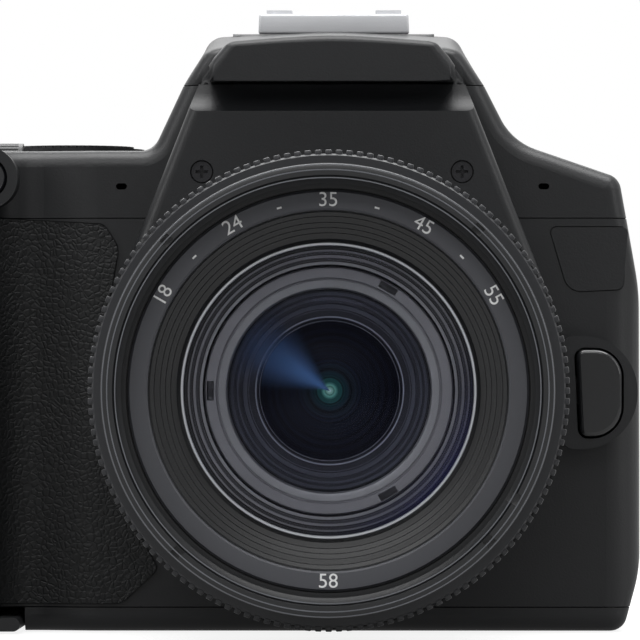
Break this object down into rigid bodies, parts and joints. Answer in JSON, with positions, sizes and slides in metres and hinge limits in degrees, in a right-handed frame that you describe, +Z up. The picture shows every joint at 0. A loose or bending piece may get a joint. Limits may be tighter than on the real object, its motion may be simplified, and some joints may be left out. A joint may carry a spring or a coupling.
{
  "type": "dslr camera",
  "caption": "Small single-lens reflex camera with a zoom lens, pop-up flash, hot shoe, rubber grip and folding rear screen.",
  "frame": {"origin": "mouth of the tripod socket on the base, straight under the lens axis", "axes": "-Y the way the lens points, +X to the right seen from the front, +Z up"},
  "size_m": [0.1235, 0.1309, 0.0924],
  "materials": {
    "board": "solder mask",
    "body_plastic": "fine satin moulded polycarbonate",
    "brushed": "brushed",
    "dark_metal": "black paint",
    "gloss_black": "gloss",
    "inner_plastic": "flat black moulding",
    "label_plastic": "battery shell",
    "lamp_plastic": "clear over diffuser",
    "mirror_glass": "front-silvered",
    "optical_glass": "coated",
    "ring_metal": "satin grey",
    "rubber": "leather grain",
    "steel": "plated"
  },
  "bodies": {
    "camera_body": {"badge_plate": "body_plastic", "base_plate": "body_plastic", "battery": "label_plastic", "body_mount_ring": "steel", "cover_screws": "steel", "eyecup": "rubber", "eyepiece_lens": "optical_glass", "focusing_screen": "optical_glass", "front_cover": "body_plastic", "front_lamp": "lamp_plastic", "grip_rubber": "rubber", "hot_shoe": "dark_metal", "hot_shoe_contacts": "inner_plastic", "image_sensor": "board", "lens_barrel": "body_plastic", "lens_mount_plate": "brushed", "main_board": "board", "mirror_box": "inner_plastic", "pentamirror": "optical_glass", "rear_cover": "body_plastic", "rear_element": "optical_glass", "shutter_unit": "inner_plastic", "strap_bars": "brushed", "thumb_rest": "rubber", "top_cover": "body_plastic", "tripod_socket": "brushed"},
    "reflex_mirror": {"reflex_mirror": "mirror_glass"},
    "flash": {"flash_head": "body_plastic", "flash_window": "lamp_plastic"},
    "mode_dial": {"mode_dial": "body_plastic"},
    "power_switch": {"power_switch": "body_plastic"},
    "main_dial": {"main_dial": "body_plastic"},
    "shutter_button": {"shutter_button": "body_plastic"},
    "iso_button": {"iso_button": "body_plastic"},
    "screen": {"screen_arm": "body_plastic", "screen_frame": "body_plastic", "screen_glass": "gloss_black"},
    "battery_door": {"battery_door": "body_plastic"},
    "port_cover_upper": {"port_cover_upper": "rubber"},
    "port_cover_lower": {"port_cover_lower": "rubber"},
    "diopter_dial": {"diopter_dial": "body_plastic"},
    "lens_release": {"lens_release_button": "body_plastic"},
    "focus_mode_switch": {"focus_mode_switch": "body_plastic"},
    "stabiliser_switch": {"stabiliser_switch": "body_plastic"},
    "zoom_ring": {"zoom_ring": "rubber"},
    "inner_barrel": {"inner_barrel": "body_plastic", "name_ring": "ring_metal", "front_element": "optical_glass", "inner_cell": "ring_metal", "inner_element": "optical_glass"},
    "focus_ring": {"focus_ring": "body_plastic"},
    "menu_button": {"menu_button": "body_plastic"},
    "info_button": {"info_button": "body_plastic"},
    "live_view_button": {"live_view_button": "body_plastic"},
    "lock_button": {"lock_button": "body_plastic"},
    "exposure_button": {"exposure_button": "body_plastic"},
    "playback_button": {"playback_button": "body_plastic"},
    "erase_button": {"erase_button": "body_plastic"},
    "four_way_pad": {"four_way_pad": "body_plastic"},
    "set_button": {"set_button": "body_plastic"}
  },
  "joints": [
    {"name": "mirror_flip", "type": "hinge", "parent": "camera_body", "child": "reflex_mirror", "pos_m": [0, -0.005, 0.0486], "axis": [-1, 0, 0], "range_deg": [0, 45], "stiffness_Nm_per_rad": 0.002, "springref_deg": -17.19},
    {"name": "flash_raise", "type": "hinge", "parent": "camera_body", "child": "flash", "pos_m": [0, -0.0065, 0.086], "axis": [-1, 0, 0], "range_deg": [0, 70]},
    {"name": "mode_dial_turn", "type": "hinge", "parent": "camera_body", "child": "mode_dial", "pos_m": [-0.0394, 0.004, 0.072], "axis": [0, 0, 1], "continuous": true},
    {"name": "power_switch_turn", "type": "hinge", "parent": "camera_body", "child": "power_switch", "pos_m": [-0.0394, 0.004, 0.071], "axis": [0, 0, 1], "range_deg": [-25, 25]},
    {"name": "main_dial_turn", "type": "hinge", "parent": "camera_body", "child": "main_dial", "pos_m": [-0.05, -0.012, 0.0642], "axis": [1, 0, 0], "continuous": true},
    {"name": "shutter_button_press", "type": "slide", "parent": "camera_body", "child": "shutter_button", "axis": [0, 0, -1], "range_m": [0, 0.001], "stiffness_N_per_m": 600, "springref_m": -0.0004},
    {"name": "iso_button_press", "type": "slide", "parent": "camera_body", "child": "iso_button", "axis": [0, 0, -1], "range_m": [0, 0.0006], "stiffness_N_per_m": 600, "springref_m": -0.0004},
    {"name": "menu_button_press", "type": "slide", "parent": "camera_body", "child": "menu_button", "axis": [0, -1, 0], "range_m": [0, 0.0006], "stiffness_N_per_m": 600, "springref_m": -0.0004},
    {"name": "info_button_press", "type": "slide", "parent": "camera_body", "child": "info_button", "axis": [0, -1, 0], "range_m": [0, 0.0006], "stiffness_N_per_m": 600, "springref_m": -0.0004},
    {"name": "live_view_button_press", "type": "slide", "parent": "camera_body", "child": "live_view_button", "axis": [0, -1, 0], "range_m": [0, 0.0006], "stiffness_N_per_m": 600, "springref_m": -0.0004},
    {"name": "lock_button_press", "type": "slide", "parent": "camera_body", "child": "lock_button", "axis": [0, -1, 0], "range_m": [0, 0.0006], "stiffness_N_per_m": 600, "springref_m": -0.0004},
    {"name": "exposure_button_press", "type": "slide", "parent": "camera_body", "child": "exposure_button", "axis": [0, -1, 0], "range_m": [0, 0.0006], "stiffness_N_per_m": 600, "springref_m": -0.0004},
    {"name": "playback_button_press", "type": "slide", "parent": "camera_body", "child": "playback_button", "axis": [0, -1, 0], "range_m": [0, 0.0006], "stiffness_N_per_m": 600, "springref_m": -0.0004},
    {"name": "erase_button_press", "type": "slide", "parent": "camera_body", "child": "erase_button", "axis": [0, -1, 0], "range_m": [0, 0.0006], "stiffness_N_per_m": 600, "springref_m": -0.0004},
    {"name": "four_way_pad_press", "type": "slide", "parent": "camera_body", "child": "four_way_pad", "axis": [0, -1, 0], "range_m": [0, 0.0006], "stiffness_N_per_m": 600, "springref_m": -0.0004},
    {"name": "set_button_press", "type": "slide", "parent": "camera_body", "child": "set_button", "axis": [0, -1, 0], "range_m": [0, 0.0006], "stiffness_N_per_m": 600, "springref_m": -0.0004},
    {"name": "screen_open", "type": "hinge", "parent": "camera_body", "child": "screen", "pos_m": [0.0414, 0.0198, 0.03225], "axis": [0, 0, -1], "range_deg": [0, 175]},
    {"name": "battery_door_open", "type": "hinge", "parent": "camera_body", "child": "battery_door", "pos_m": [-0.0465, -0.014, 0.0012], "axis": [0, -1, 0], "range_deg": [0, 90]},
    {"name": "port_cover_upper_open", "type": "hinge", "parent": "camera_body", "child": "port_cover_upper", "pos_m": [0.0442, -0.016, 0.0385], "axis": [0, 0, -1], "range_deg": [0, 100]},
    {"name": "port_cover_lower_open", "type": "hinge", "parent": "camera_body", "child": "port_cover_lower", "pos_m": [0.0442, -0.016, 0.021], "axis": [0, 0, -1], "range_deg": [0, 100]},
    {"name": "diopter_dial_turn", "type": "hinge", "parent": "camera_body", "child": "diopter_dial", "pos_m": [-0.0213, 0.022, 0.071], "axis": [0, 1, 0], "range_deg": [-150, 150]},
    {"name": "lens_release_press", "type": "slide", "parent": "camera_body", "child": "lens_release", "axis": [0, 1, 0], "range_m": [0, 0.002], "stiffness_N_per_m": 600, "springref_m": -0.0004},
    {"name": "focus_mode_switch_slide", "type": "slide", "parent": "camera_body", "child": "focus_mode_switch", "axis": [0, 0, 1], "range_m": [0, 0.0026]},
    {"name": "stabiliser_switch_slide", "type": "slide", "parent": "camera_body", "child": "stabiliser_switch", "axis": [0, 0, 1], "range_m": [0, 0.0026]},
    {"name": "zoom_ring_turn", "type": "hinge", "parent": "camera_body", "child": "zoom_ring", "pos_m": [0, -0.065, 0.0353], "axis": [0, -1, 0], "range_deg": [0, 75]},
    {"name": "barrel_extend", "type": "slide", "parent": "camera_body", "child": "inner_barrel", "axis": [0, -1, 0], "range_m": [0, 0.013]},
    {"name": "focus_ring_turn", "type": "hinge", "parent": "inner_barrel", "child": "focus_ring", "pos_m": [0, -0.084, 0.0353], "axis": [0, -1, 0], "continuous": true}
  ],
  "couplings": [
    {"joint": "barrel_extend", "follows": "zoom_ring_turn", "m_per_rad": 0.0099303}
  ]
}
